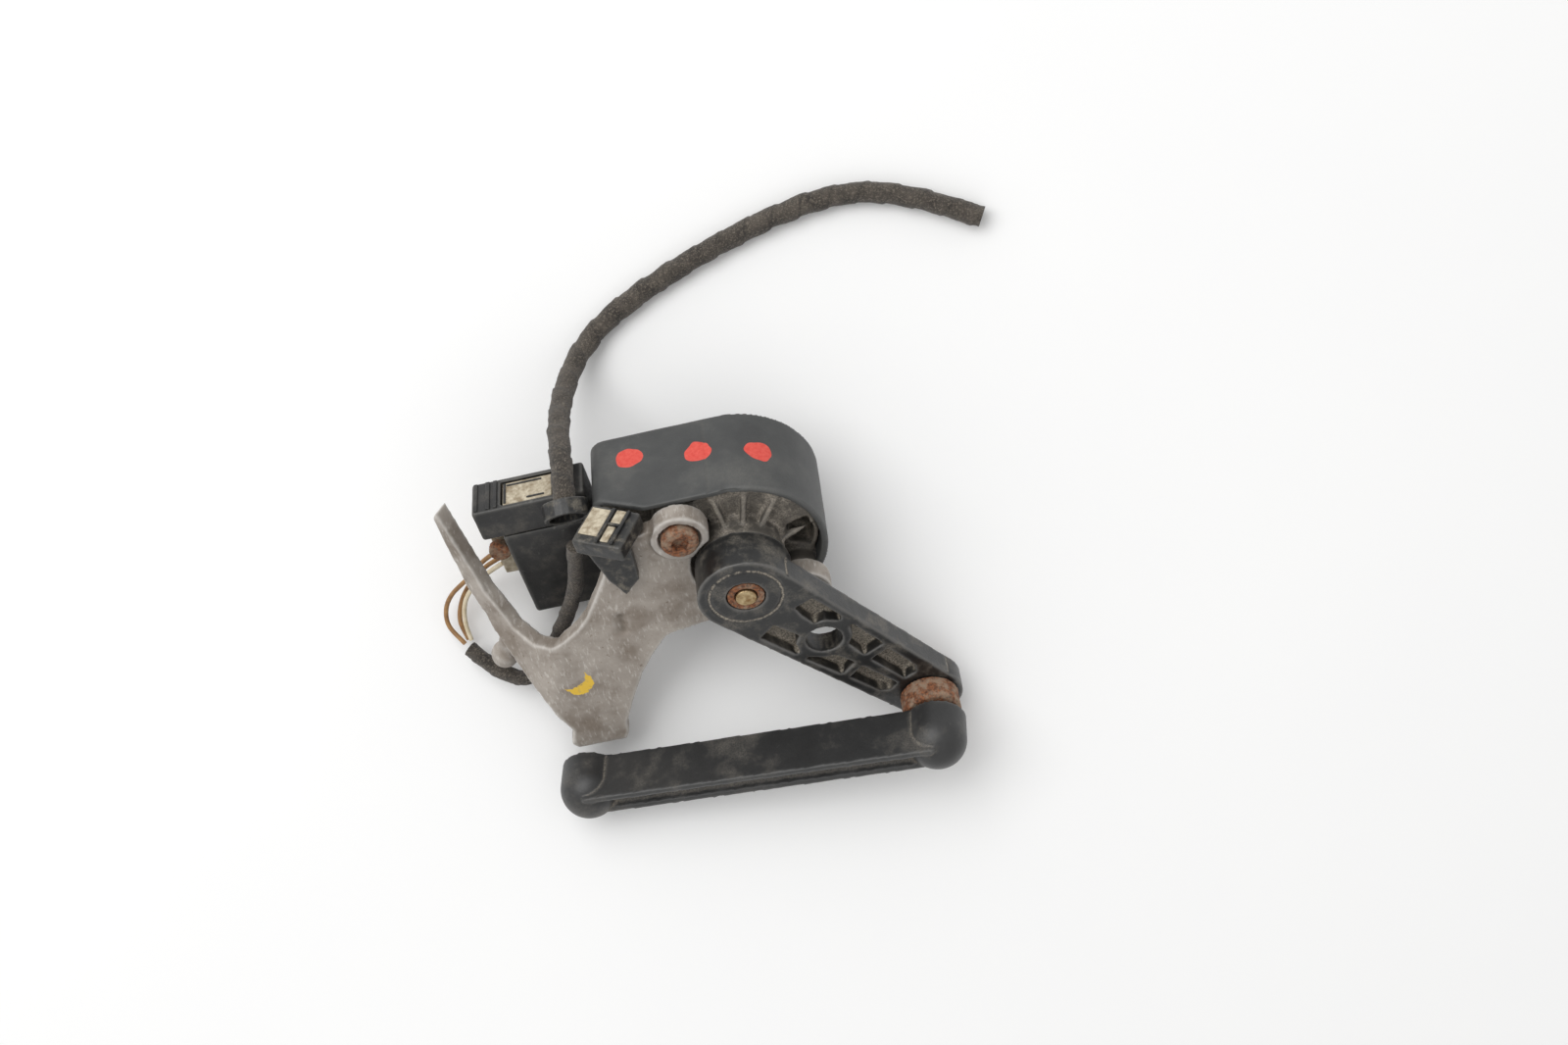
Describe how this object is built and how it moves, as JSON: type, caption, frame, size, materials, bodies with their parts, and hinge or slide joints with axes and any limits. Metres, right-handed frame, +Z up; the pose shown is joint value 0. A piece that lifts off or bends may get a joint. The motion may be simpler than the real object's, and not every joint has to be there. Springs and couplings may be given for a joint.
{
  "type": "suspension ride height sensor",
  "caption": "Rotary vehicle ride-height sensor on a V-shaped cast bracket, with a swinging lever, ball stud, coupling rod with ball sockets, plug and taped harness lead.",
  "frame": {"origin": "middle of the bounding box without the harness, on the surface that it lies on", "axes": "+X along the coupling rod from its free socket to the lever, +Y away from the lever side along the surface, +Z up"},
  "size_m": [0.1938, 0.1813, 0.0703],
  "materials": {
    "cast_aluminium": "rough sand-cast, oxidised and dusty",
    "black_nylon": "moulded, dusty",
    "weathered_black_plastic": "moulded, faded to grey",
    "sintered_bronze": "sintered",
    "nitrile_rubber": "moulded",
    "epoxy_board": "laminated, lacquered",
    "moulded_epoxy": "moulded",
    "brass": "turned",
    "rusty_steel": "corroded",
    "bright_steel": "ground, tarnished",
    "plug_nylon": "moulded, dusty",
    "sand_polyester": "moulded, dirt-stained",
    "brown_wire": "extruded",
    "white_wire": "extruded, yellowed",
    "cloth_tape": "woven, dusty",
    "clip_nylon": "moulded, dirt-streaked",
    "black_glass_filled_nylon": "moulded, dirt in the pockets",
    "ferrite": "sintered",
    "white_acetal": "moulded",
    "grey_black_nylon": "moulded, scuffed"
  },
  "bodies": {
    "sensor": {"bracket": "cast_aluminium", "sensor_housing": "black_nylon", "protective_shell": "weathered_black_plastic", "rear_cover": "black_nylon", "shaft_bush": "sintered_bronze", "shaft_seal": "nitrile_rubber", "circuit_board": "epoxy_board", "hall_sensor_chip": "moulded_epoxy", "terminal_pin_1": "brass", "terminal_pin_2": "brass", "terminal_pin_3": "brass", "threaded_insert_upper": "brass", "threaded_insert_lower": "brass", "bracket_screw_upper": "rusty_steel", "bracket_screw_lower": "rusty_steel", "plug_housing": "plug_nylon", "connector_socket": "plug_nylon", "connector_screw": "rusty_steel", "plug_end_cap": "sand_polyester", "wire_1": "brown_wire", "wire_2": "white_wire", "wire_3": "brown_wire", "tape_sleeve": "cloth_tape", "edge_clip": "clip_nylon", "clip_strap": "clip_nylon", "harness_cable": "cloth_tape"},
    "lever": {"lever_arm": "black_glass_filled_nylon", "hub_insert": "rusty_steel", "pivot_shaft": "bright_steel", "magnet_carrier": "black_nylon", "ring_magnet": "ferrite", "ball_stud": "rusty_steel"},
    "liner": {"socket_liner_near": "white_acetal"},
    "rod": {"coupling_rod": "grey_black_nylon", "socket_liner_far": "white_acetal"},
    "latch": {"plug_latch": "plug_nylon"}
  },
  "joints": [
    {"name": "lever_swing", "type": "hinge", "parent": "sensor", "child": "lever", "pos_m": [0.02308, 0.00605, 0.05459], "axis": [0, 0.6853, -0.7283], "range_deg": [-40, 40]},
    {"name": "rod_spin", "type": "hinge", "parent": "lever", "child": "liner", "pos_m": [0.06748, -0.05051, 0.02554], "axis": [0, 0.6853, -0.7283], "range_deg": [-60, 40]},
    {"name": "rod_tilt", "type": "hinge", "parent": "liner", "child": "rod", "pos_m": [0.06748, -0.05051, 0.02554], "axis": [-0.0551, 0.7271, 0.6843], "range_deg": [0, 13.5]},
    {"name": "latch_press", "type": "hinge", "parent": "sensor", "child": "latch", "pos_m": [-0.02782, 0.04946, 0.03984], "axis": [0, 0.6853, -0.7283], "range_deg": [-3.5, 0], "stiffness_Nm_per_rad": 0.02}
  ]
}
